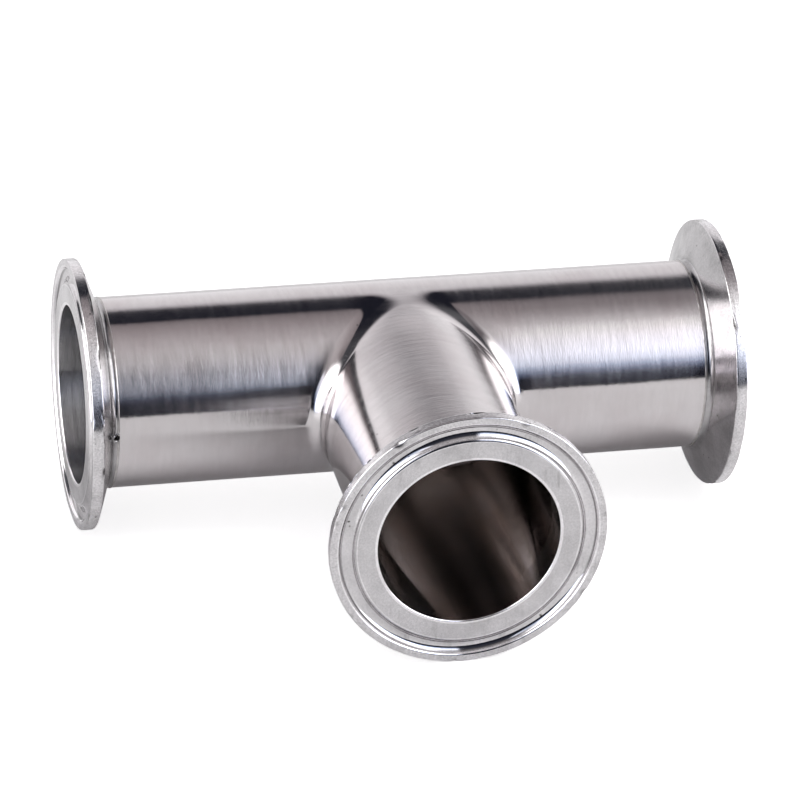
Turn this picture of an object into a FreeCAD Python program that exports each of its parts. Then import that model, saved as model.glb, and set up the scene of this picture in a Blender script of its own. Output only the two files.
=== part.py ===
# Equal pipe tee with a clamp ferrule on each of its three ports.
# Sizes are millimetres. The two centrelines cross at the origin: the run lies along X,
# the branch leaves along -Y, and +Z is up, so the tee lies on the rims of its ferrules.
import FreeCAD, Part
import math
import os
import Sketcher

from FreeCAD import Placement, Rotation, Vector

doc = FreeCAD.newDocument("pipe_tee")

# Driving sizes

driving_sizes = [
    ("centre_to_face", 78.0, "crossing point to the sealing face of every port"),
    ("tube_diameter", 45.0, "outside of the run and of the branch"),
    ("wall", 1.5, "thickness of the tube"),
    ("crotch_fillet", 4.0, "outside blend between run and branch, at mid height"),
    ("rim_diameter", 64.0, "outside of the ferrule that the clamp closes on"),
    ("rim_thickness", 2.7, "straight edge of the rim, behind the face"),
    ("cone_angle", 20.0, "slope of the back of the rim, in degrees from the face"),
    ("neck_fillet", 1.3, "blend between the neck and the cone"),
    ("neck_land", 0.1, "straight neck between the weld and that blend"),
    ("outer_land", 1.9, "flat of the face between the gasket groove and the rim's outside"),
    ("groove_width", 3.8, "gasket groove across its mouth"),
    ("groove_depth", 1.58, "gasket groove below the face"),
    ("groove_lip", 0.45, "rounding of both lips of the groove"),
    ("bore_break", 0.4, "rounding where the bore meets the face"),
    ("rim_break", 0.3, "rounding of the two outer edges of the rim"),
    ("weld_width", 0.6, "length of the bead between tube and ferrule"),
    ("weld_crown", 0.1, "height of the bead above the tube"),
]

size = doc.addObject("Spreadsheet::Sheet", "size")
for row, (alias, value, note) in enumerate(driving_sizes, start=1):
    size.set(f"A{row}", alias)
    size.set(f"B{row}", str(value))
    size.set(f"C{row}", note)
    size.setAlias(f"B{row}", alias)
doc.recompute()

# Places that follow from the driving sizes

tube_radius = "size.tube_diameter / 2"
bore_radius = "(size.tube_diameter / 2 - size.wall)"
rim_radius = "size.rim_diameter / 2"
rim_back = "(size.centre_to_face - size.rim_thickness)"
cone_root = f"({rim_back} - ({rim_radius} - {tube_radius}) * tan(size.cone_angle))"
ferrule_start = f"({cone_root} - size.neck_fillet * tan(45 - size.cone_angle / 2) - size.neck_land)"
tube_end = f"({ferrule_start} - size.weld_width)"
groove_outside = f"({rim_radius} - size.outer_land)"
groove_middle = f"({groove_outside} - size.groove_width / 2)"
groove_inside = f"({groove_outside} - size.groove_width)"
groove_radius = "((size.groove_width ^ 2 / 4 + size.groove_depth ^ 2) / (2 * size.groove_depth))"
crown_radius = "((size.weld_width ^ 2 / 4 + size.weld_crown ^ 2) / (2 * size.weld_crown))"


def value_of(expression):
    """Number that an expression on the sheet comes to."""
    return float(size.evalExpression(expression))


# Tee body: the branch is drawn out of the run, so the two blend without a seam


def swung_wedge(radius, fillet, side):
    """Filled corner between run and branch: every level section is the same shape,
    scaled by the half width of the tubes at that height, so it touches both tubes
    along a plane curve and fades to nothing at the top and the bottom."""
    reach = 1 + fillet / radius
    bend = math.sqrt(0.5)  # weight of the middle pole of a quarter circle
    half_circle = [(0, -radius, 1), (radius, -radius, bend), (radius, 0, 1),
                   (radius, radius, bend), (0, radius, 1)]
    corner = [(side * reach, -1, 1), (side, -1, bend), (side, -reach, 1)]
    poles = [[Vector(half * x, half * y, z) for x, y, _ in corner] for half, z, _ in half_circle]
    weights = [[level * turn for _, _, turn in corner] for _, _, level in half_circle]
    surface = Part.BSplineSurface()
    surface.buildFromPolesMultsKnots(poles, [3, 2, 3], [3, 3], [0, 1, 2], [0, 1],
                                     False, False, 2, 2, weights)
    skin = surface.toShape()
    middle = Part.makeLine(Vector(0, 0, -radius), Vector(0, 0, radius))
    rims = [edge for edge in skin.Edges if edge.Length > radius]
    sides = [Part.Face(Part.Wire([rim, middle])) for rim in rims]
    shell = Part.Compound([skin] + sides)
    shell.sewShape()
    wedge = Part.Solid(shell.Shells[0])
    if wedge.Volume < 0:
        wedge.reverse()
    return wedge


def tee_form(name, radius, half_length, fillet):
    """Two equal cylinders, crossing at the origin, with both corners filled."""
    run = doc.addObject("Part::Cylinder", f"{name}_run")
    run.Placement = Placement(Vector(), Rotation(Vector(0, 1, 0), 90))
    run.setExpression("Placement.Base.x", f"-1 * {half_length}")
    run.setExpression("Height", f"2 * {half_length}")
    run.setExpression("Radius", radius)
    branch = doc.addObject("Part::Cylinder", f"{name}_branch")
    branch.Placement = Placement(Vector(), Rotation(Vector(1, 0, 0), 90))
    branch.setExpression("Height", half_length)
    branch.setExpression("Radius", radius)
    corners = doc.addObject("Part::Feature", f"{name}_corners")
    corners.Shape = Part.Compound([swung_wedge(value_of(radius), value_of(fillet), side)
                                   for side in (-1, 1)])
    form = doc.addObject("Part::MultiFuse", f"{name}_form")
    form.Shapes = [run, branch, corners]
    form.Refine = True
    return form


outside = tee_form("outside", tube_radius, tube_end, "size.crotch_fillet")
inside = tee_form("inside", bore_radius, "size.centre_to_face", "size.crotch_fillet + size.wall")
tee_body = doc.addObject("Part::Cut", "tee_body")
tee_body.Base = outside
tee_body.Tool = inside
tee_body.Refine = True


# Turned pieces: each is drawn as a half section, with X along the port and Y outwards


def new_section(body, name):
    """Sketch on the body's own XY plane."""
    sketch = body.newObject("Sketcher::SketchObject", name)
    plane = next(item for item in body.Origin.OriginFeatures if item.Role == "XY_Plane")
    sketch.AttachmentSupport = [(plane, "")]
    sketch.MapMode = "FlatFace"
    return sketch


def bind(sketch, kind, targets, expression):
    """Adds one dimension to a sketch and ties it to the sheet."""
    index = sketch.addConstraint(Sketcher.Constraint(kind, *targets, value_of(expression)))
    sketch.setExpression(f"Constraints[{index}]", expression)


def bind_point(sketch, edge, end, along, outwards):
    """Places one end of an edge: its distance along the port and from the axis."""
    bind(sketch, "DistanceX", (-1, 1, edge, end), along)
    bind(sketch, "DistanceY", (-1, 1, edge, end), outwards)


def closed_outline(sketch, corners):
    """Straight sides from corner to corner, each corner tied to its two expressions."""
    points = [Vector(value_of(along), value_of(outwards), 0) for along, outwards in corners]
    count = len(points)
    for number in range(count):
        sketch.addGeometry(Part.LineSegment(points[number], points[(number + 1) % count]))
    for number in range(count):
        sketch.addConstraint(Sketcher.Constraint("Coincident", number, 2, (number + 1) % count, 1))
    for number, (along, outwards) in enumerate(corners):
        bind_point(sketch, number, 1, along, outwards)


def turn(body, kind, name, sketch):
    """Full turn of a section about the port's axis."""
    feature = body.newObject(kind, name)
    feature.Profile = sketch
    feature.ReferenceAxis = (sketch, ["H_Axis"])
    feature.Angle = 360
    doc.recompute()
    return feature


same_place = 1e-4  # two circles nearer than this are one


def round_circles(body, base, name, radius, circles):
    """Rounds the circular edges of a turned piece, each given by its place and its radius."""
    wanted = [(value_of(along), value_of(outwards)) for along, outwards in circles]
    names = []
    for number, edge in enumerate(base.Shape.Edges, start=1):
        if edge.Curve.TypeId != "Part::GeomCircle":
            continue
        found = (edge.Curve.Center.x, edge.Curve.Radius)
        if any(math.dist(found, place) < same_place for place in wanted):
            names.append(f"Edge{number}")
    rounding = body.newObject("PartDesign::Fillet", name)
    rounding.Base = (base, names)
    rounding.setExpression("Radius", radius)
    doc.recompute()
    return rounding


def clamp_ferrule(label, direction):
    """Rim with a gasket groove in its face and a sloped back, on a short neck."""
    body = doc.addObject("PartDesign::Body", label)
    section = new_section(body, f"{label}_section")
    closed_outline(section, [
        (ferrule_start, bore_radius),
        ("size.centre_to_face", bore_radius),
        ("size.centre_to_face", rim_radius),
        (rim_back, rim_radius),
        (cone_root, tube_radius),
        (ferrule_start, tube_radius),
    ])
    blank = turn(body, "PartDesign::Revolution", f"{label}_blank", section)

    cutter = new_section(body, f"{label}_cutter")
    groove_centre = f"size.centre_to_face + {groove_radius} - size.groove_depth"
    middle = Vector(value_of(groove_centre), value_of(groove_middle), 0)
    cutter.addGeometry(Part.Circle(middle, Vector(0, 0, 1), value_of(groove_radius)))
    bind_point(cutter, 0, 3, groove_centre, groove_middle)
    bind(cutter, "Radius", (0,), groove_radius)
    groove = turn(body, "PartDesign::Groove", f"{label}_groove", cutter)

    neck = round_circles(body, groove, f"{label}_neck", "size.neck_fillet",
                         [(cone_root, tube_radius)])
    lips = round_circles(body, neck, f"{label}_lips", "size.groove_lip", [
        ("size.centre_to_face", groove_inside),
        ("size.centre_to_face", groove_outside),
    ])
    mouth = round_circles(body, lips, f"{label}_mouth", "size.bore_break",
                          [("size.centre_to_face", bore_radius)])
    body.Tip = round_circles(body, mouth, f"{label}_rim", "size.rim_break", [
        ("size.centre_to_face", rim_radius),
        (rim_back, rim_radius),
    ])
    body.Placement = Placement(Vector(), Rotation(Vector(1, 0, 0), direction))
    if groove.Shape.Volume >= blank.Shape.Volume:
        raise ValueError(f"{label}: the gasket groove cut nothing")
    return body


def butt_weld(label, direction):
    """Bead through the whole wall, flush with the bore and slightly crowned outside."""
    body = doc.addObject("PartDesign::Body", label)
    section = new_section(body, f"{label}_section")
    low, high = value_of(tube_end), value_of(ferrule_start)
    inner, outer = value_of(bore_radius), value_of(tube_radius)
    middle = f"({tube_end} + size.weld_width / 2)"
    arc_centre = f"({tube_radius} + size.weld_crown - {crown_radius})"
    centre = Vector(value_of(middle), value_of(arc_centre), 0)
    ring = Part.Circle(centre, Vector(0, 0, 1), value_of(crown_radius))
    from_high = math.atan2(outer - centre.y, high - centre.x)
    section.addGeometry(Part.LineSegment(Vector(low, outer, 0), Vector(low, inner, 0)))
    section.addGeometry(Part.LineSegment(Vector(low, inner, 0), Vector(high, inner, 0)))
    section.addGeometry(Part.LineSegment(Vector(high, inner, 0), Vector(high, outer, 0)))
    section.addGeometry(Part.ArcOfCircle(ring, from_high, math.pi - from_high))
    for first, second in ((0, 1), (1, 2), (2, 3)):
        section.addConstraint(Sketcher.Constraint("Coincident", first, 2, second, 1))
    section.addConstraint(Sketcher.Constraint("Coincident", 3, 2, 0, 1))
    bind_point(section, 1, 1, tube_end, bore_radius)
    bind_point(section, 1, 2, ferrule_start, bore_radius)
    bind_point(section, 0, 1, tube_end, tube_radius)
    bind_point(section, 2, 2, ferrule_start, tube_radius)
    bind(section, "Radius", (3,), crown_radius)
    body.Tip = turn(body, "PartDesign::Revolution", f"{label}_bead", section)
    body.Placement = Placement(Vector(), Rotation(Vector(1, 0, 0), direction))
    return body


# Ports: the direction in which each one leaves the crossing point

ports = [
    ("run_ferrule_right", "run_weld_right", Vector(1, 0, 0)),
    ("run_ferrule_left", "run_weld_left", Vector(-1, 0, 0)),
    ("branch_ferrule", "branch_weld", Vector(0, -1, 0)),
]
pieces = [tee_body]
for ferrule_label, weld_label, port_direction in ports:
    pieces.append(clamp_ferrule(ferrule_label, port_direction))
    pieces.append(butt_weld(weld_label, port_direction))

doc.recompute()

for item in doc.Objects:
    if "Invalid" in item.State or "Error" in item.State:
        raise ValueError(f"{item.Label}: {item.State}")
for piece in pieces:
    if piece.Shape.isNull() or not piece.Shape.isValid():
        raise ValueError(f"{piece.Label}: the shape is empty or not valid")

os.makedirs("parts", exist_ok=True)
for piece in pieces:
    piece.Shape.exportStep(f"parts/{piece.Label}.step")
    corner = piece.Shape.BoundBox
    print(f"{piece.Label}: {piece.Shape.Volume:.1f} mm3, "
          f"X {corner.XMin:.2f} {corner.XMax:.2f}, Y {corner.YMin:.2f} {corner.YMax:.2f}, "
          f"Z {corner.ZMin:.2f} {corner.ZMax:.2f}")
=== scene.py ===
import math
import bpy
import bmesh
from mathutils import Matrix, Vector, noise


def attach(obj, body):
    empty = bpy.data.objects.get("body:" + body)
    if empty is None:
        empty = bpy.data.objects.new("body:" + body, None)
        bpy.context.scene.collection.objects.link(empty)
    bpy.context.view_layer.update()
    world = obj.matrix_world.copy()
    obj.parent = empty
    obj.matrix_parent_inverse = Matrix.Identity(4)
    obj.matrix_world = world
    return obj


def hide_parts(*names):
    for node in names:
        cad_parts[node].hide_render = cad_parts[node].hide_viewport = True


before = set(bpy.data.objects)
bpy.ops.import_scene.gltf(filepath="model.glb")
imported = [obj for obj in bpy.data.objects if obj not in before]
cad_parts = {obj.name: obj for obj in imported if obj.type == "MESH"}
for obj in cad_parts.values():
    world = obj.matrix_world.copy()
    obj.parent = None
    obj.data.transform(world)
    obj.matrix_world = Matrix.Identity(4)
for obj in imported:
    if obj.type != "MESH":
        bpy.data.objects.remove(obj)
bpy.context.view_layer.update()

mm = 0.001
touching = 0.001 * mm    # points closer than this count as one
scene = bpy.context.scene
scene.view_settings.view_transform = "Standard"


# helpers for nodes

def addNode(tree, kind, inputs=None, **settings):
    node = tree.nodes.new(kind)
    for key, value in settings.items():
        setattr(node, key, value)
    for key, value in (inputs or {}).items():
        if isinstance(value, bpy.types.NodeSocket):
            tree.links.new(value, node.inputs[key])
        else:
            node.inputs[key].default_value = value
    return node


def mathNode(tree, operation, first, second=0.0, third=0.0):
    return addNode(tree, "ShaderNodeMath", {0: first, 1: second, 2: third}, operation=operation).outputs[0]


def mixColour(tree, factor, first, second, blend="MIX"):
    return addNode(tree, "ShaderNodeMix", {0: factor, 6: first, 7: second},
                   data_type="RGBA", blend_type=blend).outputs[2]


def mapRange(tree, value, low, high, newLow, newHigh, smooth=False):
    kind = "SMOOTHSTEP" if smooth else "LINEAR"
    return addNode(tree, "ShaderNodeMapRange", {"Value": value, "From Min": low, "From Max": high,
                   "To Min": newLow, "To Max": newHigh}, interpolation_type=kind).outputs[0]


def rampNode(tree, factor, stops):
    node = addNode(tree, "ShaderNodeValToRGB", {"Fac": factor})
    ramp = node.color_ramp
    while len(ramp.elements) < len(stops):
        ramp.elements.new(0.5)
    for element, (place, colour) in zip(ramp.elements, stops):
        element.position = place
    for element, (place, colour) in zip(ramp.elements, stops):
        if isinstance(colour, (int, float)):
            colour = (colour, colour, colour)
        element.color = (*colour, 1.0)
    return node.outputs["Color"]


def newGroup(name, inputs, outputs):
    group = bpy.data.node_groups.new(name, "ShaderNodeTree")
    for label, kind, default in inputs:
        socket = group.interface.new_socket(label, in_out="INPUT", socket_type=kind)
        if default is not None:
            socket.default_value = default
    for label, kind in outputs:
        group.interface.new_socket(label, in_out="OUTPUT", socket_type=kind)
    return group, group.nodes.new("NodeGroupInput").outputs, group.nodes.new("NodeGroupOutput").inputs


def groupNode(tree, group, inputs):
    node = tree.nodes.new("ShaderNodeGroup")
    node.node_tree = group
    for key, value in inputs.items():
        if isinstance(value, bpy.types.NodeSocket):
            tree.links.new(value, node.inputs[key])
        else:
            node.inputs[key].default_value = value
    return node.outputs


def newMaterial(name):
    material = bpy.data.materials.new(name)
    material.use_nodes = True
    tree = material.node_tree
    tree.nodes.clear()
    output = tree.nodes.new("ShaderNodeOutputMaterial")
    return material, tree, output


# camera: the photograph's view, long lens, slightly rolled

view = {
    "place": (-0.23929, -0.96957, 0.56040),
    "azimuth": -13.948,
    "elevation": 29.624,
    "roll": 3.04,
    "lens": 216.2,
}


def makeCamera(settings):
    turn = math.radians(settings["azimuth"])
    tilt = math.radians(settings["elevation"])
    rightward = Vector((math.cos(turn), math.sin(turn), 0))
    forward = Vector((-math.sin(turn) * math.cos(tilt), math.cos(turn) * math.cos(tilt), -math.sin(tilt)))
    upward = rightward.cross(forward)
    axes = Matrix((rightward, upward, -forward)).transposed().to_4x4()
    camera = bpy.data.objects.new("camera", bpy.data.cameras.new("camera"))
    camera.matrix_world = (Matrix.Translation(settings["place"]) @ axes
                           @ Matrix.Rotation(math.radians(settings["roll"]), 4, "Z"))
    camera.data.lens = settings["lens"]
    camera.data.sensor_width = 36
    camera.data.clip_start = 0.05
    camera.data.clip_end = 60
    scene.collection.objects.link(camera)
    scene.camera = camera


makeCamera(view)
print("camera placed")


# studio: pale floor, plain light, and a light tent that only polished metal sees

studio = {
    "floorSize": 12.0,
    "floorLevel": -32.0 * mm,
    "floorColour": (0.92, 0.91, 0.92, 1),
    "floorLift": 0.72,                  # brings the paper to white for the camera, its shadow stays
    "glowLeft": (-0.2, -0.09, 0.45),    # places from and to, strength: seen in the metal only
    "glowRight": (0.09, 0.22, 0.2),
    "glowFront": (-0.35, -0.15),
    "glowBack": (0.0, 0.12),
    "skyLevel": 0.45,
    "lampPlace": (0.58, -0.12, 1.28),
    "lampSize": 0.9,
    "lampPower": 11.5,
}


def makeWorld(settings):
    world = bpy.data.worlds.new("studio")
    scene.world = world
    world.use_nodes = True
    tree = world.node_tree
    tree.nodes.clear()
    path = tree.nodes.new("ShaderNodeLightPath").outputs
    plain = addNode(tree, "ShaderNodeBackground", {"Color": (1, 1, 1, 1), "Strength": settings["skyLevel"]})
    white = addNode(tree, "ShaderNodeBackground", {"Color": (1, 1, 1, 1), "Strength": 1.0})
    seen = mathNode(tree, "MAXIMUM", path["Is Camera Ray"], path["Is Transmission Ray"])
    mixed = addNode(tree, "ShaderNodeMixShader", {0: seen, 1: plain.outputs[0], 2: white.outputs[0]})
    output = tree.nodes.new("ShaderNodeOutputWorld")
    tree.links.new(mixed.outputs[0], output.inputs["Surface"])


def makeFloor(settings):
    bm = bmesh.new()
    bmesh.ops.create_grid(bm, x_segments=1, y_segments=1, size=settings["floorSize"] / 2)
    bmesh.ops.translate(bm, verts=bm.verts, vec=(0, 0, settings["floorLevel"]))
    mesh = bpy.data.meshes.new("floor")
    bm.to_mesh(mesh)
    bm.free()
    floor = bpy.data.objects.new("floor", mesh)
    scene.collection.objects.link(floor)
    material, tree, output = newMaterial("floorPaper")
    path = tree.nodes.new("ShaderNodeLightPath").outputs
    paper = addNode(tree, "ShaderNodeBsdfPrincipled", {
        "Base Color": settings["floorColour"], "Roughness": 0.9, "Specular IOR Level": 0.1})
    place = tree.nodes.new("ShaderNodeTexCoord").outputs["Object"]
    parts = addNode(tree, "ShaderNodeSeparateXYZ", {0: place}).outputs
    start, end, strength = settings["glowLeft"]
    leftGlow = mapRange(tree, parts[0], start, end, strength, 0, smooth=True)
    start, end, strength = settings["glowRight"]
    rightGlow = mapRange(tree, parts[0], start, end, 0, strength, smooth=True)
    inFront = mapRange(tree, parts[1], *settings["glowFront"], 0, 1, smooth=True)
    notBehind = mapRange(tree, parts[1], *settings["glowBack"], 1, 0, smooth=True)
    glowing = mathNode(tree, "ADD", leftGlow, rightGlow)
    for share in (inFront, notBehind, path["Is Glossy Ray"]):
        glowing = mathNode(tree, "MULTIPLY", glowing, share)
    lift = mathNode(tree, "MULTIPLY_ADD", path["Is Camera Ray"], settings["floorLift"], glowing)
    glow = addNode(tree, "ShaderNodeEmission", {"Color": (1, 1, 1, 1), "Strength": lift})
    both = addNode(tree, "ShaderNodeAddShader", {0: paper.outputs[0], 1: glow.outputs[0]})
    tree.links.new(both.outputs[0], output.inputs["Surface"])
    mesh.materials.append(material)


tentLight = {
    "radius": 0.8,
    "boxStrength": 3.0,
    "room": (0.016, 0.017, 0.026, 1),
    # brightness by angle over the object: 0 is the floor in front, 90 overhead, 180 the floor behind
    "boxRise": [(0, 0.0), (13, 0.0), (19, (0.09, 0.11, 0.17)), (25, (0.34, 0.4, 0.52)),
                (31, (0.7, 0.76, 0.9)), (40, (0.93, 0.97, 1.1)), (58, (1.0, 1.0, 1.08)), (70, 1.0),
                (180, 1.0)],
    "innerTop": [(0, 1.0), (43, 1.0), (54, 0.72), (65, 0.45), (78, 0.2), (90, 0.06), (100, 0.0),
                 (180, 0.0)],
    "outerTop": [(0, 1.0), (62, 0.95), (72, 0.58), (80, 0.12), (89, 0.0), (180, 0.0)],
    "wingTop": (46, 58),
    "panelArc": [(0, 0.0), (46, 0.0), (64, (0.42, 0.4, 0.4)), (78, (0.6, 0.56, 0.56)),
                 (90, (0.58, 0.53, 0.53)), (105, (0.42, 0.37, 0.37)), (116, (0.30, 0.26, 0.26)), (118, 0.0),
                 (180, 0.0)],
    "sweepArc": [(0, 0.0), (138, 0.0), (140, (0.15, 0.14, 0.15)), (142, (0.42, 0.4, 0.41)),
                 (144, (0.58, 0.56, 0.57)), (148, (0.82, 0.8, 0.81)), (156, (0.92, 0.89, 0.9)),
                 (168, (0.98, 0.96, 0.97)), (180, (1.05, 1.04, 1.05))],
    "faintArc": (96, 110),
    # brightness by place across, from -1 at the far left to 1 at the far right
    "boxAcross": [(-1.0, 0.3), (-0.9, 1.1), (-0.7, 1.1), (-0.55, 0.9), (-0.5, 0.5), (-0.43, 0.08),
                  (-0.38, 0.01), (0.22, 0.01), (0.26, 0.6), (0.37, 0.66), (0.5, 1.0), (0.9, 1.0), (1.0, 0.3)],
    "wingAcross": [(-1.0, 0.0), (-0.52, 0.0), (-0.44, 0.25), (-0.29, 0.42), (-0.24, 0.0), (1.0, 0.0)],
    "panelAcross": [(-1.0, 0.1), (-0.6, 0.6), (-0.3, 0.95), (0.13, 1.0), (0.27, 0.62), (0.5, 0.42),
                    (0.7, 0.3), (1.0, 0.2)],
    "sweepAcross": [(-1.0, 0.8), (-0.6, 1.1), (-0.5, 1.15), (-0.42, 0.95), (-0.2, 1.0), (0.12, 1.0),
                    (0.3, 0.93), (0.45, 0.94), (0.54, 1.06), (1.0, 1.06)],
    "faintAcross": [(-1.0, 0.07), (-0.45, 0.06), (-0.15, 0.0), (0.33, 0.0), (0.4, 0.1), (0.5, 0.14),
                    (0.56, 0.06), (1.0, 0.05)],
    # how edges slant: beyond a place across, the angle shifts by so much for each unit further out
    "leftLower": (-0.36, 0.5),
    "leftUpper": (-0.53, -1.2),
    "rightLower": (0.5, 0.8),
    "rightUpper": (0.5, -0.55),
    "outerFrom": (0.36, 0.52),
    "panelRight": (0.0, 0.08),
    "panelLeft": (0.05, 0.11),
    "sweepRight": (0.22, 0.05),
    "sweepSpread": 0.05,
    "sweepEarly": 0.003,
    "sweepStep": (-0.52, -0.4, -0.055),    # places from and to, shift
}


def degrees(stops):
    return [(angle / 180, colour) for angle, colour in stops]


def sides(stops):
    return [((place + 1) / 2, colour) for place, colour in stops]


def slantEdge(tree, angle, side, towards, slant):
    # the angle shifted beyond a place, to the right (1) or to the left (-1)
    start, share = slant
    beyond = mathNode(tree, "MAXIMUM", mathNode(tree, "MULTIPLY_ADD", side, towards, -start * towards), 0.0)
    return mathNode(tree, "MULTIPLY_ADD", beyond, share, angle)


def onlyInReflections(thing):
    thing.visible_camera = False
    thing.visible_diffuse = False
    thing.visible_transmission = False
    thing.visible_volume_scatter = False
    thing.visible_shadow = False


def makeTent(settings, level):
    bm = bmesh.new()
    bmesh.ops.create_uvsphere(bm, u_segments=96, v_segments=48, radius=settings["radius"])
    bmesh.ops.bisect_plane(bm, geom=bm.verts[:] + bm.edges[:] + bm.faces[:], plane_co=(0, 0, level),
                           plane_no=(0, 0, 1), clear_inner=True)
    mesh = bpy.data.meshes.new("tent")
    bm.to_mesh(mesh)
    bm.free()
    tent = bpy.data.objects.new("tent", mesh)
    scene.collection.objects.link(tent)
    onlyInReflections(tent)
    material, tree, output = newMaterial("tentLight")
    material.cycles.emission_sampling = "NONE"
    place = tree.nodes.new("ShaderNodeTexCoord").outputs["Object"]
    parts = addNode(tree, "ShaderNodeSeparateXYZ", {0: place}).outputs
    height = mathNode(tree, "SUBTRACT", parts[2], level)
    front = mathNode(tree, "MULTIPLY", parts[1], -1.0)
    arc = mathNode(tree, "DIVIDE", mathNode(tree, "ARCTAN2", height, front), math.pi)
    side = mathNode(tree, "DIVIDE", parts[0], settings["radius"])
    across = mapRange(tree, side, -1, 1, 0, 1)
    spread = mathNode(tree, "ABSOLUTE", side)

    def byAngle(key, angle):
        return rampNode(tree, angle, degrees(settings[key]))

    def byPlace(key):
        return rampNode(tree, across, sides(settings[key]))

    def fade(key, start, end):
        low, high = settings[key]
        return mapRange(tree, arc, low / 180, high / 180, start, end, smooth=True)

    def blend(first, second, kind="MULTIPLY"):
        return mixColour(tree, 1.0, first, second, kind)

    # two tall boxes in front, left and right of the camera: they reach lower and further back at the sides
    lower = slantEdge(tree, arc, side, 1, settings["rightLower"])
    lower = slantEdge(tree, lower, side, -1, settings["leftLower"])
    upper = slantEdge(tree, arc, side, 1, settings["rightUpper"])
    upper = slantEdge(tree, upper, side, -1, settings["leftUpper"])
    outer = mapRange(tree, spread, *settings["outerFrom"], 0, 1, smooth=True)
    rise = byAngle("boxRise", lower)
    top = mixColour(tree, outer, byAngle("innerTop", arc), byAngle("outerTop", upper))
    boxes = blend(blend(rise, top), byPlace("boxAcross"))
    # a dim wing on the inner side of the left one
    wing = blend(blend(rise, fade("wingTop", 1, 0)), byPlace("wingAcross"))
    # a dimmer warm panel overhead, its back edge nearest the camera at the sides
    back = slantEdge(tree, arc, side, 1, settings["panelRight"])
    back = slantEdge(tree, back, side, -1, settings["panelLeft"])
    panel = blend(byAngle("panelArc", back), byPlace("panelAcross"))
    # the pale sweep behind, and a faint glow above it
    stepFrom, stepTo, step = settings["sweepStep"]
    early = slantEdge(tree, settings["sweepEarly"], side, 1, settings["sweepRight"])
    early = mathNode(tree, "ADD", early, mapRange(tree, side, stepFrom, stepTo, step, 0, smooth=True))
    sooner = mathNode(tree, "MULTIPLY_ADD", spread, settings["sweepSpread"],
                      mathNode(tree, "ADD", arc, early))
    sweep = blend(byAngle("sweepArc", sooner), byPlace("sweepAcross"))
    faint = mixColour(tree, fade("faintArc", 0, 1), (0, 0, 0, 1), byPlace("faintAcross"))
    lit = blend(blend(boxes, wing, "ADD"), (settings["boxStrength"],) * 3 + (1,))
    for light in (panel, sweep, faint, settings["room"]):
        lit = blend(lit, light, "ADD")
    glow = addNode(tree, "ShaderNodeEmission", {"Color": lit, "Strength": 1.0})
    tree.links.new(glow.outputs[0], output.inputs["Surface"])
    mesh.materials.append(material)


def makeLamp(settings):
    data = bpy.data.lights.new("softLamp", "AREA")
    data.energy = settings["lampPower"]
    data.size = settings["lampSize"]
    lamp = bpy.data.objects.new("softLamp", data)
    lamp.location = settings["lampPlace"]
    lamp.rotation_euler = (-lamp.location).to_track_quat("-Z", "Y").to_euler()
    lamp.visible_glossy = False
    lamp.visible_camera = False
    scene.collection.objects.link(lamp)


makeWorld(studio)
makeFloor(studio)
makeTent(tentLight, studio["floorLevel"])
makeLamp(studio)
print("studio built")


# effects that more than one steel uses

def makeGrainGroup():
    group, source, sink = newGroup("brushedGrain", [
        ("Vector", "NodeSocketVector", None), ("Seed", "NodeSocketFloat", 0.0)],
        [("Height", "NodeSocketFloat"), ("Streak", "NodeSocketFloat")])
    fine = addNode(group, "ShaderNodeTexNoise", {"Vector": source["Vector"], "W": source["Seed"],
                   "Scale": 1.0, "Detail": 3.0, "Roughness": 0.6}, noise_dimensions="4D").outputs["Fac"]
    wide = addNode(group, "ShaderNodeTexNoise", {"Vector": source["Vector"], "W": source["Seed"],
                   "Scale": 0.22, "Detail": 2.0, "Roughness": 0.5}, noise_dimensions="4D").outputs["Fac"]
    height = mathNode(group, "MULTIPLY_ADD", wide, 1.5, fine)
    group.links.new(height, sink["Height"])
    group.links.new(wide, sink["Streak"])
    return group


def makeCloudGroup():
    group, source, sink = newGroup("handledClouds", [
        ("Vector", "NodeSocketVector", None), ("Scale", "NodeSocketFloat", 60.0)],
        [("Mask", "NodeSocketFloat"), ("Wave", "NodeSocketFloat")])
    cloud = addNode(group, "ShaderNodeTexNoise", {"Vector": source["Vector"], "Scale": source["Scale"],
                    "Detail": 4.0, "Roughness": 0.55}).outputs["Fac"]
    mask = mapRange(group, cloud, 0.35, 0.68, 0.0, 1.0, smooth=True)
    wave = addNode(group, "ShaderNodeTexNoise", {"Vector": source["Vector"], "Scale": source["Scale"],
                   "Detail": 0.0}).outputs["Fac"]
    group.links.new(mask, sink["Mask"])
    group.links.new(wave, sink["Wave"])
    return group


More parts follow.
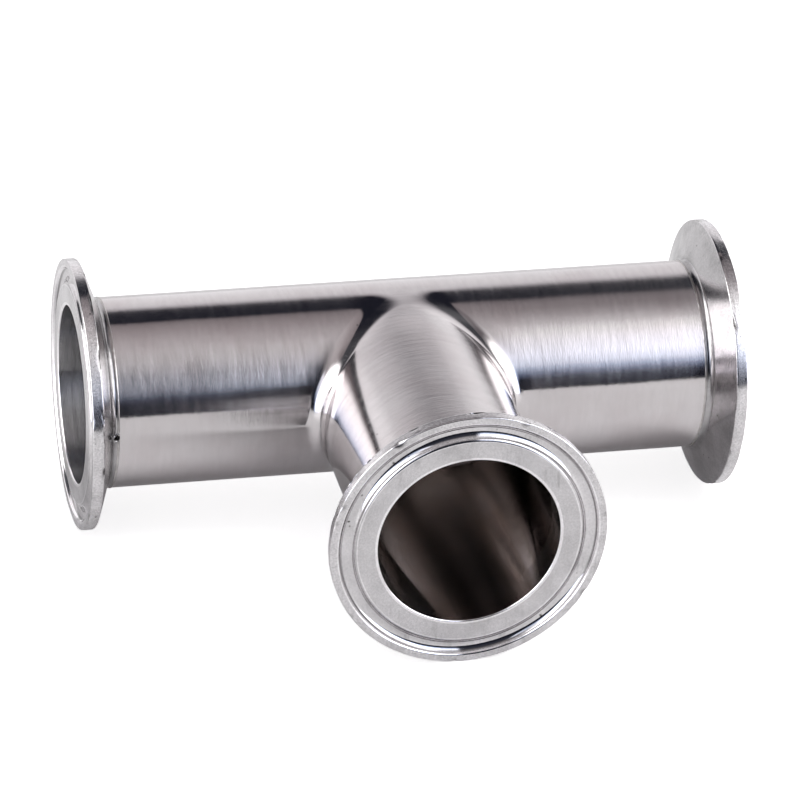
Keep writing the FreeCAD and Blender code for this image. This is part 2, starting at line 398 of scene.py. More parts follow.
def makeMarksGroup():
    group, source, sink = newGroup("wornMarks", [
        ("Vector", "NodeSocketVector", None), ("Fine", "NodeSocketFloat", 2400.0),
        ("Cells", "NodeSocketFloat", 380.0), ("Share", "NodeSocketFloat", 0.25)],
        [("Grain", "NodeSocketFloat"), ("Speck", "NodeSocketFloat")])
    grain = addNode(group, "ShaderNodeTexNoise", {"Vector": source["Vector"], "Scale": source["Fine"],
                    "Detail": 2.0, "Roughness": 0.6}).outputs["Fac"]
    cell = addNode(group, "ShaderNodeTexVoronoi", {"Vector": source["Vector"], "Scale": source["Cells"]})
    parts = addNode(group, "ShaderNodeSeparateColor", {0: cell.outputs["Color"]}).outputs
    chosen = mathNode(group, "LESS_THAN", parts[0], source["Share"])
    reach = mapRange(group, parts[1], 0, 1, 0.05, 0.14)    # in cell widths
    spot = mathNode(group, "SUBTRACT", 1.0, mathNode(group, "DIVIDE", cell.outputs["Distance"], reach))
    ragged = mathNode(group, "MULTIPLY_ADD", mathNode(group, "SUBTRACT", grain, 0.5), 2.0, spot)
    speck = mathNode(group, "MULTIPLY", mapRange(group, ragged, 0.0, 0.5, 0.0, 1.0), chosen)
    group.links.new(grain, sink["Grain"])
    group.links.new(speck, sink["Speck"])
    return group


def makeHollowShadeGroup():
    # painted shade: a colour darkened towards a dark one where a mask marks a dent or pit
    group, source, sink = newGroup("paintedHollowShade", [
        ("Colour", "NodeSocketColor", None), ("Mask", "NodeSocketFloat", 0.0),
        ("Start", "NodeSocketFloat", 0.0), ("Full", "NodeSocketFloat", 0.25),
        ("Share", "NodeSocketFloat", 1.0), ("Dark", "NodeSocketColor", (0.03, 0.028, 0.027, 1))],
        [("Colour", "NodeSocketColor")])
    share = mapRange(group, source["Mask"], source["Start"], source["Full"], 0, source["Share"])
    group.links.new(mixColour(group, share, source["Colour"], source["Dark"]), sink["Colour"])
    return group


# painted light on the face, by radius: bright rings are painted highlights, dark rings painted shade
faceRingLight = {
    "radii": (20.0, 32.0),    # in millimetres
    "brightest": 1.5,
    "stops": [(21.7, 1.48), (21.8, 1.0), (25.65, 1.0), (25.8, 1.35), (26.0, 1.35), (26.1, 0.7),
              (26.25, 1.0), (26.9, 1.1), (29.4, 1.1), (29.55, 0.55), (29.75, 0.55), (29.85, 1.5),
              (30.3, 1.5), (30.45, 1.1), (32.0, 1.1)],
    "grooveInside": (26.3 * mm, 26.6 * mm),
    "grooveOutside": (29.8 * mm, 30.1 * mm),
    "face": (76.0 * mm, 76.2 * mm),
}


def makeRingGroup(settings):
    # painted highlights on the edge of the bore, the lips of the groove and the land, painted shade under the
    # lips
    group, source, sink = newGroup("paintedRingLight", [
        ("Along", "NodeSocketFloat", 0.0), ("Radius", "NodeSocketFloat", 0.0)],
        [("Shade", "NodeSocketColor"), ("Groove", "NodeSocketFloat")])
    low, high = settings["radii"]
    brightest = settings["brightest"]
    place = mapRange(group, source["Radius"], low * mm, high * mm, 0, 1)
    rings = rampNode(group, place, [((ring - low) / (high - low), shade / brightest)
                                    for ring, shade in settings["stops"]])
    rings = mixColour(group, 1.0, rings, (brightest, brightest, brightest, 1), "MULTIPLY")
    onFace = mapRange(group, source["Along"], *settings["face"], 0, 1)
    group.links.new(mixColour(group, onFace, (1, 1, 1, 1), rings), sink["Shade"])
    groove = mathNode(group, "MULTIPLY", mapRange(group, source["Radius"], *settings["grooveInside"], 0, 1),
                      mapRange(group, source["Radius"], *settings["grooveOutside"], 1, 0))
    group.links.new(mathNode(group, "MULTIPLY", groove, onFace), sink["Groove"])
    return group


def makeBackGroup():
    # painted shade on the sloped back, deeper still on the neck next to the tube
    group, source, sink = newGroup("shadedBack", [
        ("Along", "NodeSocketFloat", 0.0), ("Radius", "NodeSocketFloat", 0.0),
        ("Clouds", "NodeSocketFloat", 0.0), ("Neck", "NodeSocketFloat", 0.7),
        ("Cone", "NodeSocketFloat", 0.9), ("Cloudy", "NodeSocketFloat", 0.9)],
        [("Shade", "NodeSocketFloat"), ("Mask", "NodeSocketFloat")])
    onCone = mapRange(group, source["Along"], 75.15 * mm, 75.3 * mm, 1, 0)
    shade = mapRange(group, source["Radius"], 22.8 * mm, 24.0 * mm, source["Neck"], source["Cone"])
    shade = mathNode(group, "MULTIPLY", shade, mapRange(group, source["Clouds"], 0, 1, 1, source["Cloudy"]))
    shade = mathNode(group, "MULTIPLY_ADD", mathNode(group, "SUBTRACT", shade, 1.0), onCone, 1.0)
    group.links.new(shade, sink["Shade"])
    group.links.new(onCone, sink["Mask"])
    return group


grainGroup = makeGrainGroup()
cloudGroup = makeCloudGroup()
marksGroup = makeMarksGroup()
hollowShadeGroup = makeHollowShadeGroup()
ringGroup = makeRingGroup(faceRingLight)
backGroup = makeBackGroup()

tubeFinish = {
    "colour": (0.665, 0.64, 0.645, 1),
    "warm": (0.625, 0.59, 0.595, 1),
    "brushedRoughness": 0.16,
    "polishedRoughness": 0.075,
    "grainAcross": 3600.0,
    "grainAlong": 620.0,
    "grainDepth": 2.0e-5,
    "waveDepth": 7e-5,
    "anisotropy": 1.0,
    "mottle": 0.07,
    "speckShare": 0.05,
    "speckColour": (0.12, 0.11, 0.11, 1),
}


def makeTubeSteel(name, axis, settings):
    material, tree, output = newMaterial(name)
    place = tree.nodes.new("ShaderNodeTexCoord").outputs["Object"]
    stretch = [settings["grainAlong"]] * 3
    stretch["XYZ".index(axis)] = settings["grainAcross"]
    stretched = addNode(tree, "ShaderNodeMapping", {"Vector": place, "Scale": stretch}).outputs[0]
    grain = groupNode(tree, grainGroup, {"Vector": stretched, "Seed": 3.0})
    clouds = groupNode(tree, cloudGroup, {"Vector": place, "Scale": 75.0})
    polish = addNode(tree, "ShaderNodeAttribute", attribute_name="polish").outputs["Fac"]
    brushed = mapRange(tree, polish, 0, 1, 1, 0)
    marks = groupNode(tree, marksGroup, {"Vector": place, "Fine": 1500.0, "Cells": 240.0,
                                         "Share": settings["speckShare"]})
    colour = mixColour(tree, clouds["Mask"], settings["colour"], settings["warm"])
    half = settings["mottle"] / 2
    mottle = mapRange(tree, grain["Height"], 0.9, 1.6, 1 - half, 1 + half)
    colour = mixColour(tree, 1.0, colour, mottle, "MULTIPLY")
    colour = mixColour(tree, marks["Speck"], colour, settings["speckColour"])
    rough = mapRange(tree, polish, 0, 1, settings["brushedRoughness"], settings["polishedRoughness"])
    rough = mathNode(tree, "MULTIPLY_ADD", mathNode(tree, "SUBTRACT", grain["Streak"], 0.5), 0.08, rough)
    waves = addNode(tree, "ShaderNodeBump", {"Height": clouds["Wave"], "Distance": settings["waveDepth"],
                    "Strength": 1.0}).outputs[0]
    fine = addNode(tree, "ShaderNodeBump", {"Height": grain["Height"], "Distance": settings["grainDepth"],
                   "Strength": brushed, "Normal": waves}).outputs[0]
    tangent = addNode(tree, "ShaderNodeTangent", direction_type="RADIAL", axis=axis).outputs[0]
    steel = addNode(tree, "ShaderNodeBsdfPrincipled", {
        "Base Color": colour, "Metallic": 1.0, "Roughness": rough, "Normal": fine,
        "Anisotropic": settings["anisotropy"], "Anisotropic Rotation": 0.25, "Tangent": tangent})
    tree.links.new(steel.outputs[0], output.inputs["Surface"])
    return material


branchFinish = dict(tubeFinish, grainAlong=420.0, mottle=0.11, waveDepth=9e-5)
# painted shade inside the pipe: the bore steel much darker than the outside, the run's ferrule mouths a
# little darker
boreFinishAndShade = dict(tubeFinish, colour=(0.45, 0.42, 0.41, 1), warm=(0.42, 0.37, 0.345, 1),
                  brushedRoughness=0.14, grainDepth=1.2e-5, waveDepth=3e-5, speckShare=0.0)
mouthFinishAndShade = dict(tubeFinish, colour=(0.6, 0.595, 0.61, 1), warm=(0.52, 0.515, 0.53, 1),
                   brushedRoughness=0.21, grainDepth=2.2e-5, speckShare=0.0)

ferruleFinish = {
    "colour": (0.67, 0.655, 0.665, 1),
    "dull": (0.58, 0.567, 0.575, 1),
    "speckColour": (0.10, 0.095, 0.09, 1),
    "dentShadeColour": (0.05, 0.047, 0.045, 1),
    "dentShadeRange": (0.02, 0.16, 0.85),    # mask from and to, darkening
    "roughness": 0.085,
    "cloudRoughness": 0.06,
    "ringScale": 4200.0,
    "ringDepth": 2.0e-6,
    "grainDepth": 3e-6,
    "waveDepth": 2.5e-5,
    "mottle": 0.2,
    "landMottle": 0.36,
    "grooveRoughness": -0.045,
    # painted shade on the sloped back and the neck
    "coneShade": 0.93,
    "coneClouds": 0.86,
    "neckShade": 0.68,
    "coneRoughness": 0.05,
    "anisotropy": 0.0,
    "scratchScale": 3000.0,
    "scratchShade": 0.3,
    "speckShare": 0.35,
}


rimFinish = dict(ferruleFinish, roughness=0.22, mottle=0.35, speckShare=0.6, anisotropy=0.9)
faceFinish = dict(ferruleFinish, roughness=0.2, anisotropy=0.85)


def makeFerruleSteel(name, axis, settings):
    material, tree, output = newMaterial(name)
    place = addNode(tree, "ShaderNodeAttribute", attribute_name="port").outputs["Vector"]
    parts = addNode(tree, "ShaderNodeSeparateXYZ", {0: place}).outputs
    cross = addNode(tree, "ShaderNodeCombineXYZ", {0: 0.0, 1: parts[1], 2: parts[2]}).outputs[0]
    radius = addNode(tree, "ShaderNodeVectorMath", {0: cross}, operation="LENGTH").outputs["Value"]
    outward = mathNode(tree, "ADD", radius, parts[0])
    turned = addNode(tree, "ShaderNodeCombineXYZ", {
        0: mathNode(tree, "MULTIPLY", outward, settings["ringScale"]),
        1: mathNode(tree, "MULTIPLY", parts[1], 240.0),
        2: mathNode(tree, "MULTIPLY", parts[2], 240.0)}).outputs[0]
    grain = groupNode(tree, grainGroup, {"Vector": turned, "Seed": 8.0})
    clouds = groupNode(tree, cloudGroup, {"Vector": place, "Scale": 140.0})
    marks = groupNode(tree, marksGroup, {"Vector": place, "Fine": 2100.0, "Cells": 330.0,
                                         "Share": settings["speckShare"]})
    # scratches that run round the face and the rim
    scale = settings["scratchScale"]
    slanted = addNode(tree, "ShaderNodeMapping", {
        "Vector": place, "Rotation": (0.5, 0, 0), "Scale": (scale, scale / 2.2, 160.0)}).outputs[0]
    scratch = groupNode(tree, grainGroup, {"Vector": slanted, "Seed": 2.0})["Height"]
    scratchMask = mathNode(tree, "MULTIPLY", mapRange(tree, scratch, 1.36, 1.6, 0.0, 1.0), clouds["Mask"])
    colour = mixColour(tree, clouds["Mask"], settings["colour"], settings["dull"])
    mottling = mapRange(tree, radius, 30.1 * mm, 30.4 * mm, settings["mottle"], settings["landMottle"])
    mottle = mapRange(tree, marks["Grain"], 0.3, 0.7, -0.5, 0.5)
    mottle = mathNode(tree, "MULTIPLY_ADD", mottle, mottling, 1.0)
    colour = mixColour(tree, 1.0, colour, mottle, "MULTIPLY")
    shade = mapRange(tree, scratchMask, 0, 1, 1, 1 - settings["scratchShade"])
    colour = mixColour(tree, 1.0, colour, shade, "MULTIPLY")
    colour = mixColour(tree, marks["Speck"], colour, settings["speckColour"])
    # painted shade in the weld pit
    pit = addNode(tree, "ShaderNodeAttribute", attribute_name="pit").outputs["Fac"]
    colour = groupNode(tree, hollowShadeGroup, {"Colour": colour, "Mask": pit})["Colour"]
    # painted shade in the dents of the rim
    dentShade = addNode(tree, "ShaderNodeAttribute", attribute_name="dentShade").outputs["Fac"]
    start, full, share = settings["dentShadeRange"]
    colour = groupNode(tree, hollowShadeGroup, {"Colour": colour, "Mask": dentShade, "Start": start, "Full": full,
                                         "Share": share, "Dark": settings["dentShadeColour"]})["Colour"]
    # painted shade on the sloped back and the neck
    back = groupNode(tree, backGroup, {
        "Along": parts[0], "Radius": radius, "Clouds": clouds["Mask"], "Neck": settings["neckShade"],
        "Cone": settings["coneShade"], "Cloudy": settings["coneClouds"]})
    # painted highlights and painted shade in rings on the face
    rings = groupNode(tree, ringGroup, {"Along": parts[0], "Radius": radius})
    for shade in (back["Shade"], rings["Shade"]):
        colour = mixColour(tree, 1.0, colour, shade, "MULTIPLY")
    rough = mathNode(tree, "MULTIPLY_ADD", clouds["Mask"], settings["cloudRoughness"], settings["roughness"])
    rough = mathNode(tree, "MULTIPLY_ADD", rings["Groove"], settings["grooveRoughness"], rough)
    rough = mathNode(tree, "MULTIPLY_ADD", back["Mask"], settings["coneRoughness"], rough)
    waves = addNode(tree, "ShaderNodeBump", {"Height": clouds["Wave"], "Distance": settings["waveDepth"],
                    "Strength": 1.0}).outputs[0]
    pores = addNode(tree, "ShaderNodeBump", {"Height": marks["Grain"], "Distance": settings["grainDepth"],
                    "Strength": 1.0, "Normal": waves}).outputs[0]
    fine = addNode(tree, "ShaderNodeBump", {"Height": grain["Height"], "Distance": settings["ringDepth"],
                   "Strength": 1.0, "Normal": pores}).outputs[0]
    tangent = addNode(tree, "ShaderNodeTangent", direction_type="RADIAL", axis=axis).outputs[0]
    steel = addNode(tree, "ShaderNodeBsdfPrincipled", {
        "Base Color": colour, "Metallic": 1.0, "Roughness": rough, "Normal": fine,
        "Anisotropic": settings["anisotropy"], "Anisotropic Rotation": 0.25, "Tangent": tangent})
    tree.links.new(steel.outputs[0], output.inputs["Surface"])
    return material


weldFinish = {
    "colour": (0.58, 0.56, 0.55, 1),
    "dull": (0.45, 0.43, 0.42, 1),
    "roughness": 0.32,
    "waveDepth": 2e-5,
}


def makeWeldSteel(name, settings):
    material, tree, output = newMaterial(name)
    place = tree.nodes.new("ShaderNodeTexCoord").outputs["Object"]
    clouds = groupNode(tree, cloudGroup, {"Vector": place, "Scale": 600.0})
    colour = mixColour(tree, clouds["Mask"], settings["colour"], settings["dull"])
    # painted shade in the weld pit
    pit = addNode(tree, "ShaderNodeAttribute", attribute_name="pit").outputs["Fac"]
    colour = groupNode(tree, hollowShadeGroup, {"Colour": colour, "Mask": pit})["Colour"]
    bump = addNode(tree, "ShaderNodeBump", {"Height": clouds["Wave"], "Distance": settings["waveDepth"],
                   "Strength": 1.0}).outputs[0]
    steel = addNode(tree, "ShaderNodeBsdfPrincipled", {
        "Base Color": colour, "Metallic": 1.0, "Roughness": settings["roughness"], "Normal": bump})
    tree.links.new(steel.outputs[0], output.inputs["Surface"])
    return material


runSteel = makeTubeSteel("brushedRun", "X", tubeFinish)
branchSteel = makeTubeSteel("brushedBranch", "Y", branchFinish)
runBoreSteel = makeTubeSteel("runBore", "X", boreFinishAndShade)
branchBoreSteel = makeTubeSteel("branchBore", "Y", boreFinishAndShade)
runMouthSteel = makeTubeSteel("runMouth", "X", mouthFinishAndShade)
ferruleSteel = makeFerruleSteel("turnedFerrule", "X", ferruleFinish)
runRimSteel = makeFerruleSteel("runRim", "X", rimFinish)
branchRimSteel = makeFerruleSteel("branchRim", "Y", rimFinish)
runFaceSteel = makeFerruleSteel("runFace", "X", faceFinish)
branchFaceSteel = makeFerruleSteel("branchFace", "Y", faceFinish)
weldSteel = makeWeldSteel("weldBead", weldFinish)
print("finishes mixed")


# pieces

portTurns = {
    "right": Matrix.Identity(4),
    "left": Matrix.Rotation(math.pi, 4, "Z"),
    "branch": Matrix.Rotation(-math.pi / 2, 4, "Z"),
}


def keepPiece(name, bm, materials, node):
    for edge in bm.edges:
        if edge.calc_face_angle(0) > math.radians(50):
            edge.smooth = False
    mesh = bpy.data.meshes.new(name)
    bm.to_mesh(mesh)
    bm.free()
    for material in materials:
        mesh.materials.append(material)
    mesh.shade_smooth()
    piece = bpy.data.objects.new(name, mesh)
    scene.collection.objects.link(piece)
    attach(piece, "root")
    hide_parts(node)
    return piece


def evenNormals(piece):
    weighted = piece.modifiers.new("flats", "WEIGHTED_NORMAL")
    weighted.mode = "FACE_AREA"
    weighted.weight = 100
    weighted.keep_sharp = True


weldPit = {
    "place": (-70.78 * mm, -22.5 * mm, 0.5 * mm),
    "reach": 0.8 * mm,
    "depth": 0.45 * mm,
    "ridge": 0.16 * mm,      # the raised rim about it
    "ragged": 0.55,
    "raggedSize": 0.45 * mm,
}


def refinePit(bm, settings):
    # finer faces where the pit goes
    place = Vector(settings["place"])
    wide = 2.2 * settings["reach"]
    near = [edge for edge in bm.edges if all((vert.co - place).length < wide for vert in edge.verts)]
    bmesh.ops.subdivide_edges(bm, edges=near, cuts=3, use_grid_fill=True)


def sinkPit(vert, outward, layer, settings):
    # one pit with a raised rim, in the left weld and the neck beside it; the layer keeps where painted shade
    # goes in the pit
    gap = (vert.co - Vector(settings["place"])).length / settings["reach"]
    gap *= 1 + settings["ragged"] * noise.noise(vert.co / settings["raggedSize"])
    vert[layer] = max(0, 1 - gap)
    ridge = settings["ridge"] * math.exp(-((gap - 1.2) / 0.25) ** 2)
    vert.co += outward.normalized() * (ridge - settings["depth"] * max(0, 1 - gap) ** 0.5)


tee = {
    "tubeRadius": 22.5 * mm,
    "boreRadius": 21.0 * mm,
    "outerBlend": 3.8 * mm,     # radius of the crotch in a level cut at mid height, outside
    "innerBlend": 5.3 * mm,     # and inside
    "apexRound": 3.3 * mm,      # how much wider the blend grows at the crown
    "crownReach": 5.0 * mm,
    "crownSoft": 1.6 * mm,
    "hollowPlace": -10.5 * mm,
    "hollowWidth": 6.0 * mm,
    "hollowDepth": 0.32 * mm,
    "tubeEnd": 70.232 * mm,
    "straightSteps": 26,
    "blendSteps": 20,
    "crownSteps": 16,
    "aroundSteps": 128,
    "polishReach": 2.2 * mm,
    "weldDistance": 0.004 * mm,
}


def crownHeight(x, y, z, half, radius, flat, settings):
    # near the crown the tube falls away softly, and at the branch's root there is a slight hollow
    away = max(0, math.hypot(x, y) - flat) / settings["crownReach"]
    soft = 1 - math.exp(-away ** 2) / (1 + (half / settings["crownSoft"]) ** 2)
    height = math.copysign(radius - (radius - abs(z)) * soft, z)
    if z > 0:
        wide = settings["hollowWidth"]
        height -= settings["hollowDepth"] * math.exp(-(x / (1.4 * wide)) ** 2
                                                     - ((y - settings["hollowPlace"]) / wide) ** 2)
    return height


def fillCrown(bm, radius, blend, settings, level):
    # the small area where the crowns of run and branch meet, as two fans about its middle
    flat = blend + settings["apexRound"]
    rings = settings["crownSteps"] // 2
    polish = bm.verts.layers.float["polish"]
    for mirror in (1, -1):
        made = bmesh.ops.create_grid(bm, x_segments=settings["blendSteps"], y_segments=rings, size=1.0)
        for vert in made["verts"]:
            swing = (vert.co.x + 1) / 2 * math.pi / 2
            share = (vert.co.y + 1) / 2
            x = share * flat * (1 - math.sin(swing))
            y = share * flat * (math.cos(swing) - 1)
            vert[polish] = 1
            vert.co = (mirror * x, y, crownHeight(x, y, level * radius, 0, radius, flat, settings))


def bendCorner(bm, radius, blend, settings, mirror):
    # a flat grid becomes one front corner of the tee: run side, blend, branch side
    straight = settings["straightSteps"]
    rounded = settings["blendSteps"]
    columns = 2 * straight + rounded
    end = settings["tubeEnd"]
    polish = bm.verts.layers.float["polish"]
    made = bmesh.ops.create_grid(bm, x_segments=columns, y_segments=settings["aroundSteps"], size=1.0)
    for vert in made["verts"]:
        column = (vert.co.x + 1) / 2 * columns
        angle = vert.co.y * math.pi / 2
        half = radius * math.cos(angle)
        reach = math.hypot(half, settings["apexRound"]) + blend
        swing = (column - straight) / rounded * math.pi / 2
        away = 0
        if column <= straight:
            along = end + (reach - end) * column / straight
            place = (along, -half)
            away = along - reach
        elif column >= straight + rounded:
            along = reach + (end - reach) * (column - straight - rounded) / straight
            place = (half, -along)
            away = along - reach
        else:
            bend = reach - half
            place = (reach - bend * math.sin(swing), -reach + bend * math.cos(swing))
        nearCrotch = math.exp(-(away / settings["polishReach"]) ** 2)
        flank = max(0, min(1, (half / radius - 0.5) / 0.2)) if column > straight + rounded / 2 else 0
        vert[polish] = max(nearCrotch, flank)
        flat = blend + settings["apexRound"]
        height = crownHeight(*place, radius * math.sin(angle), half, radius, flat, settings)
        vert.co = (mirror * place[0], place[1], height)


def bendBack(bm, radius, blend, settings):
    # the rear half of the run, its columns meeting those of the two corners
    straight = settings["straightSteps"]
    crown = settings["crownSteps"]
    end = settings["tubeEnd"]
    flat = blend + settings["apexRound"]
    polish = bm.verts.layers.float["polish"]
    made = bmesh.ops.create_grid(bm, x_segments=2 * straight + crown, y_segments=settings["aroundSteps"],
                                 size=1.0)
    for vert in made["verts"]:
        column = abs(vert.co.x) * (straight + crown / 2)
        if column > crown / 2:
            along = flat + (end - flat) * (column - crown / 2) / straight
        else:
            along = flat * column / (crown / 2)
        angle = vert.co.y * math.pi / 2
        half = radius * math.cos(angle)
        height = crownHeight(along, half, radius * math.sin(angle), half, radius, flat, settings)
        vert[polish] = math.exp(-(max(0, math.hypot(along, half) - flat) / settings["polishReach"]) ** 2)
        vert.co = (math.copysign(along, vert.co.x), half, height)


def makeTee(settings):
    bm = bmesh.new()
    bm.verts.layers.float.new("polish")
    for radius, blend in ((settings["tubeRadius"], settings["outerBlend"]),
                          (settings["boreRadius"], settings["innerBlend"])):
        bendCorner(bm, radius, blend, settings, 1)
        bendCorner(bm, radius, blend, settings, -1)
        bendBack(bm, radius, blend, settings)
        fillCrown(bm, radius, blend, settings, 1)
        fillCrown(bm, radius, blend, settings, -1)
    bmesh.ops.remove_doubles(bm, verts=bm.verts, dist=settings["weldDistance"])
    # close the three ends: each outer ring drawn in onto the ring of the bore
    narrower = settings["boreRadius"] / settings["tubeRadius"]
    betweenRadii = (settings["boreRadius"] + settings["tubeRadius"]) / 2
    for lengthwise, widthwise in ((0, 1), (1, 0)):
        nearEnd = settings["tubeEnd"] - 10 * touching
        rings = [edge for edge in bm.edges if edge.is_boundary and all(
            abs(vert.co[lengthwise]) > nearEnd and math.hypot(vert.co[widthwise], vert.co.z) > betweenRadii
            for vert in edge.verts)]
        drawn = bmesh.ops.extrude_edge_only(bm, edges=rings)["geom"]
        for vert in (item for item in drawn if isinstance(item, bmesh.types.BMVert)):
            vert.co[widthwise] *= narrower
            vert.co.z *= narrower
    bmesh.ops.remove_doubles(bm, verts=bm.verts, dist=settings["weldDistance"])
    print("tee open edges left:", sum(edge.is_boundary for edge in bm.edges))
    bmesh.ops.recalc_face_normals(bm, faces=bm.faces)
    for face in bm.faces:
        middle = face.calc_center_median()
        onBranch = middle.y < -abs(middle.x)
        fromAxis = math.hypot(middle.x if onBranch else middle.y, middle.z)
        outward = Vector((middle.x if onBranch else 0, 0 if onBranch else middle.y, middle.z))
        inside = fromAxis < settings["boreRadius"] + 50 * touching and face.normal.dot(outward) < 0
        face.material_index = (2 if inside else 0) + (1 if onBranch else 0)
    materials = [runSteel, branchSteel, runBoreSteel, branchBoreSteel]
    piece = keepPiece("teeBody", bm, materials, "tee_body")
    evenNormals(piece)
    return piece


teeBody = makeTee(tee)
print("tee body", len(teeBody.data.vertices), "points")


ferrule = {
    "boreRadius": 21.0 * mm,
    "tubeRadius": 22.5 * mm,
    "rimRadius": 32.0 * mm,
    "rimBack": 75.3 * mm,
    "face": 78.0 * mm,
    "start": 70.832 * mm,
    "coneRoot": 71.842 * mm,
    "grooveCentre": (78.35 * mm, 28.2 * mm),
    "grooveHalf": 1.9 * mm,
    "lipInsideRound": 0.62 * mm,
    "lipOutsideRound": 0.42 * mm,
    "mouthRound": 0.4 * mm,
    "rimRound": 0.3 * mm,
    "neckRound": 0.91 * mm,
    "neckTop": 23.5 * mm,
    "dentDepth": 0.9 * mm,
    "dentReach": 0.5 * mm,       # how far a dent runs in from the edge
    "dentNarrow": 2.5,           # dents are drawn out along the rim
    "frontDents": (3.2 * mm, 0.26),    # size, and how few
    "backDents": (3.4 * mm, 0.17),
    "backDepth": 1.6,
    "frontShade": 0.4,
    "wearAndShade": {"left": 0.45, "right": 0.8, "branch": 0.85},
    "aroundSteps": 360,
}


def dentAt(place, kind, distance, settings):
    size, few = settings[kind]
    return max(0, noise.noise(place / size) - few) * math.exp(-(distance / settings["dentReach"]) ** 2)


def makeFerrule(name, settings, port, node):
    bm = bmesh.new()
    face = settings["face"]
    centreX, centreR = settings["grooveCentre"]
    half = settings["grooveHalf"]
    corners = {
        "weldInside": (settings["start"], settings["boreRadius"]),
        "mouth": (face, settings["boreRadius"]),
        "lipInside": (face, centreR - half),
        "lipOutside": (face, centreR + half),
        "rimFront": (face, settings["rimRadius"]),
        "rimBack": (settings["rimBack"], settings["rimRadius"]),
        "coneRoot": (settings["coneRoot"], settings["tubeRadius"]),
        "weldOutside": (settings["start"], settings["tubeRadius"]),
    }
    points = {key: bm.verts.new((x, 0, r)) for key, (x, r) in corners.items()}
    order = list(points.values())
    for first, second in zip(order, order[1:] + order[:1]):
        if first is not points["lipInside"]:
            bm.edges.new((first, second))
    # the gasket groove: its inner lip swung round the groove's own centre to the outer lip
    swing = 2 * math.asin(half / math.hypot(half, centreX - face))
    swung = bmesh.ops.spin(bm, geom=[points["lipInside"]], cent=(centreX, 0, centreR), axis=(0, 1, 0),
                           angle=swing, steps=9)
    last = [item for item in swung["geom_last"] if isinstance(item, bmesh.types.BMVert)][0]
    bmesh.ops.pointmerge(bm, verts=[last, points["lipOutside"]], merge_co=points["lipOutside"].co)
    for key, amount in (("mouth", "mouthRound"), ("rimFront", "rimRound"), ("rimBack", "rimRound"),
                        ("coneRoot", "neckRound")):
        bmesh.ops.bevel(bm, geom=[points[key]], offset=settings[amount], offset_type="OFFSET", segments=6,
                        profile=0.5, affect="VERTICES", material=-1)
    across = [edge for edge in bm.edges if edge.calc_length() > 1.5 * mm
              and all(vert.co.z > settings["rimRadius"] - touching for vert in edge.verts)]
    bmesh.ops.subdivide_edges(bm, edges=across, cuts=7)
    for side, amount in ((-1, "lipInsideRound"), (1, "lipOutsideRound")):
        corner = Vector((face, 0, centreR + side * half))
        lip = [vert for vert in bm.verts if (vert.co - corner).length < touching]
        bmesh.ops.bevel(bm, geom=lip, offset=settings[amount], offset_type="OFFSET", segments=6,
                        profile=0.5, affect="VERTICES", material=-1)
    bmesh.ops.spin(bm, geom=bm.verts[:] + bm.edges[:], cent=(0, 0, 0), axis=(1, 0, 0), angle=2 * math.pi,
                   steps=settings["aroundSteps"], use_merge=True)
    bmesh.ops.remove_doubles(bm, verts=bm.verts, dist=touching)
    bmesh.ops.recalc_face_normals(bm, faces=bm.faces)
    layer = bm.verts.layers.float_vector.new("port")
    for vert in bm.verts:
        vert[layer] = vert.co
    for patch in bm.faces:
        if all(vert.co.yz.length < settings["boreRadius"] + touching for vert in patch.verts):
            patch.material_index = 1
        elif all(vert.co.yz.length > settings["rimRadius"] - touching for vert in patch.verts):
            patch.material_index = 2
        elif all(vert.co.x > face - touching for vert in patch.verts):
            patch.material_index = 3
    # small dents along both edges of the rim, more and deeper ones at the back, with painted shade in them
    dentShadeLayer = bm.verts.layers.float.new("dentShade")
    wearAndShade = settings["wearAndShade"][port]
    for vert in bm.verts:
        outward = Vector((0, vert.co.y, vert.co.z))
        onRim = outward.length > settings["rimRadius"] - settings["rimRound"] - touching
        toBack = vert.co.x - settings["rimBack"]
        if onRim and toBack > -touching:
            place = portTurns[port] @ Vector((vert.co.x * settings["dentNarrow"], vert.co.y, vert.co.z))
            front = dentAt(place, "frontDents", face - vert.co.x, settings)
            back = dentAt(place, "backDents", toBack, settings)
            vert[dentShadeLayer] = wearAndShade * (settings["frontShade"] * front + back)
            deep = front + settings["backDepth"] * back
            vert.co -= outward.normalized() * wearAndShade * deep * settings["dentDepth"]
    bmesh.ops.transform(bm, matrix=portTurns[port], verts=bm.verts)
    pit = bm.verts.layers.float.new("pit")
    if port == "left":
        refinePit(bm, weldPit)
    for vert in bm.verts:
        fromAxis = vert.co.yz.length
        if port == "left" and settings["tubeRadius"] - touching < fromAxis < settings["neckTop"]:
            sinkPit(vert, Vector((0, vert.co.y, vert.co.z)), pit, weldPit)
    mouthSteel = branchBoreSteel if port == "branch" else runMouthSteel
    rimSteel = branchRimSteel if port == "branch" else runRimSteel
    faceSteel = branchFaceSteel if port == "branch" else runFaceSteel
    piece = keepPiece(name, bm, [ferruleSteel, mouthSteel, rimSteel, faceSteel], node)
    evenNormals(piece)
    return piece


for label, port, node in (("ferruleLeft", "left", "run_ferrule_left"),
                          ("ferruleRight", "right", "run_ferrule_right"),
                          ("ferruleBranch", "branch", "branch_ferrule")):
    made = makeFerrule(label, ferrule, port, node)
    print(label, len(made.data.vertices), "points")


weld = {
    "start": 70.232 * mm,
    "end": 70.832 * mm,
    "boreRadius": 21.0 * mm,
    "tubeRadius": 22.5 * mm,
    "crown": 0.1 * mm,
    "unevenness": 0.09 * mm,
    "unevenSize": 0.8 * mm,
    "aroundSteps": 432,
}


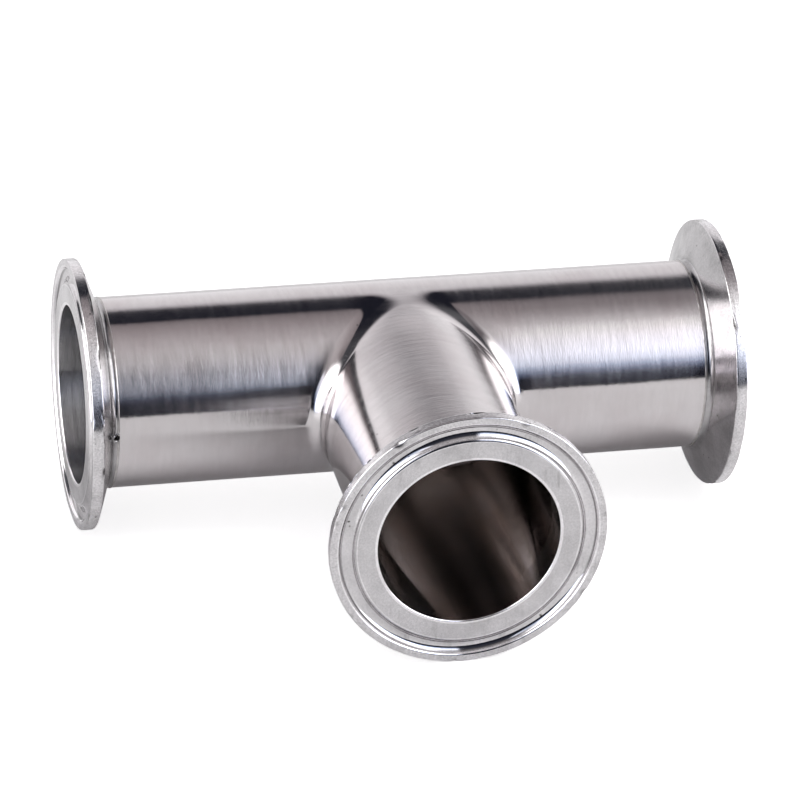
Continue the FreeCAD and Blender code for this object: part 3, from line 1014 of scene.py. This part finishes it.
def makeWeld(name, settings, port, node):
    bm = bmesh.new()
    corners = [(settings["start"], settings["boreRadius"]), (settings["end"], settings["boreRadius"]),
               (settings["end"], settings["tubeRadius"]), (settings["start"], settings["tubeRadius"])]
    verts = [bm.verts.new((x, 0, r)) for x, r in corners]
    for first, second in zip(verts, verts[1:] + verts[:1]):
        bm.edges.new((first, second))
    middle = (settings["start"] + settings["end"]) / 2
    halfWidth = (settings["end"] - settings["start"]) / 2
    top = [edge for edge in bm.edges
           if all(vert.co.z > settings["tubeRadius"] - touching for vert in edge.verts)]
    bmesh.ops.subdivide_edges(bm, edges=top, cuts=7)
    for vert in bm.verts:
        if vert.co.z > settings["tubeRadius"] - touching:
            vert.co.z += settings["crown"] * (1 - ((vert.co.x - middle) / halfWidth) ** 2)
    bmesh.ops.spin(bm, geom=bm.verts[:] + bm.edges[:], cent=(0, 0, 0), axis=(1, 0, 0), angle=2 * math.pi,
                   steps=settings["aroundSteps"], use_merge=True)
    bmesh.ops.remove_doubles(bm, verts=bm.verts, dist=touching)
    bmesh.ops.recalc_face_normals(bm, faces=bm.faces)
    for face in bm.faces:
        if all(vert.co.yz.length < settings["boreRadius"] + touching for vert in face.verts):
            face.material_index = 1
    bmesh.ops.transform(bm, matrix=portTurns[port], verts=bm.verts)
    # the bead rises and falls a little
    pit = bm.verts.layers.float.new("pit")
    if port == "left":
        refinePit(bm, weldPit)
    for vert in bm.verts:
        outward = vert.co.copy()
        outward[1 if port == "branch" else 0] = 0
        proud = outward.length - settings["tubeRadius"]
        if proud < touching:
            continue
        uneven = settings["unevenness"] * noise.noise(vert.co / settings["unevenSize"])
        vert.co += outward.normalized() * max(uneven * proud / settings["crown"], -proud)
        sinkPit(vert, outward, pit, weldPit)
    mouthSteel = branchBoreSteel if port == "branch" else runMouthSteel
    return keepPiece(name, bm, [weldSteel, mouthSteel], node)


for label, port, node in (("weldLeft", "left", "run_weld_left"), ("weldRight", "right", "run_weld_right"),
                          ("weldBranch", "branch", "branch_weld")):
    made = makeWeld(label, weld, port, node)
    print(label, len(made.data.vertices), "points")
